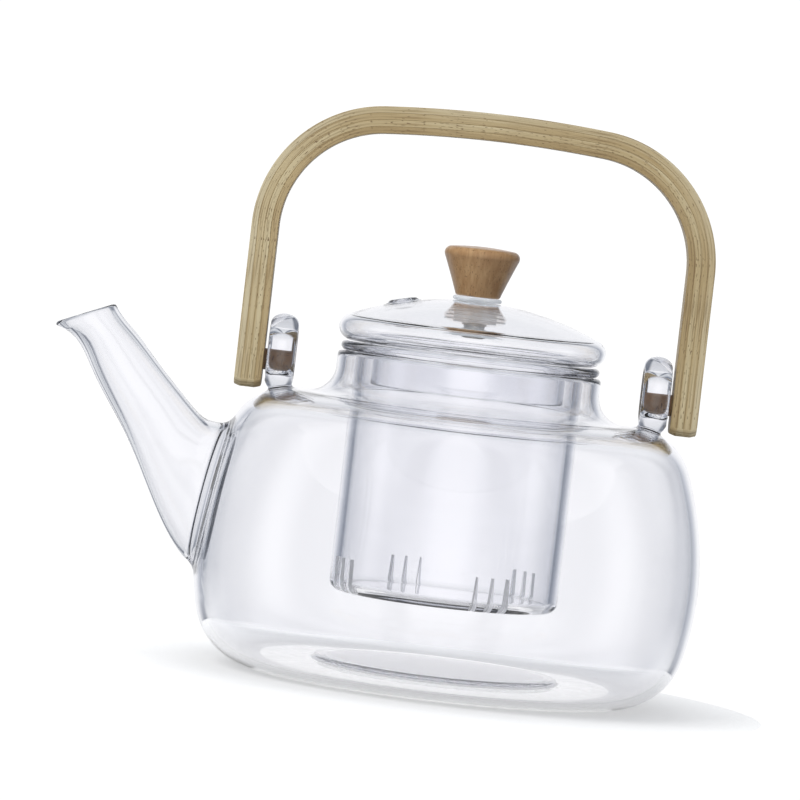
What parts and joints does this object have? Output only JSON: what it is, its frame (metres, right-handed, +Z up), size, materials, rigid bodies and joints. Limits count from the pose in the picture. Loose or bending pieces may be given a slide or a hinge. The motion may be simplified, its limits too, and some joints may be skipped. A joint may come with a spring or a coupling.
{
  "type": "glass teapot",
  "caption": "Clear glass teapot with a slanted spout, a lift-out glass steeping cup, a domed lid with a turned wooden knob and a folding bail handle of laminated bamboo.",
  "frame": {"origin": "centre of the ring that the pot stands on, on the body's axis", "axes": "+Z up along the body's axis, -X towards the spout, X along the handle's pivot axis"},
  "size_m": [0.1943, 0.1468, 0.1668],
  "materials": {
    "borosilicate_glass": "clear, fire polished, smooth",
    "bamboo": "laminated strips, sanded and oiled, fibres running lengthwise",
    "knob_wood": "turned beech, clear satin lacquer",
    "peg_wood": "turned dowel, oiled",
    "silicone": "clear silicone, moulded",
    "steel": "stainless, machined",
    "brass": "machined"
  },
  "bodies": {
    "pot": {"pot_body": "borosilicate_glass", "pot_shoulder": "borosilicate_glass", "spout": "borosilicate_glass", "spout_side_lug": "borosilicate_glass", "rear_lug": "borosilicate_glass"},
    "cup": {"infuser_cup": "borosilicate_glass"},
    "lid": {"lid_glass": "borosilicate_glass", "lid_knob": "knob_wood", "knob_insert": "brass", "knob_screw": "steel", "screw_washer": "steel", "upper_gasket": "silicone", "lower_bush": "silicone"},
    "handle": {"handle_outer_ply": "bamboo", "handle_second_ply": "bamboo", "handle_third_ply": "bamboo", "handle_inner_ply": "bamboo", "spout_side_peg": "peg_wood", "rear_peg": "peg_wood"}
  },
  "joints": [
    {"name": "cup_lift", "type": "slide", "parent": "pot", "child": "cup", "axis": [0, 0, 1], "range_m": [0, 0.015]},
    {"name": "lid_lift", "type": "slide", "parent": "cup", "child": "lid", "axis": [0, 0, 1], "range_m": [0, 0.014]},
    {"name": "handle_fold", "type": "hinge", "parent": "pot", "child": "handle", "pos_m": [0, 0, 0.0888], "axis": [1, 0, 0], "range_deg": [-100, 100]}
  ]
}
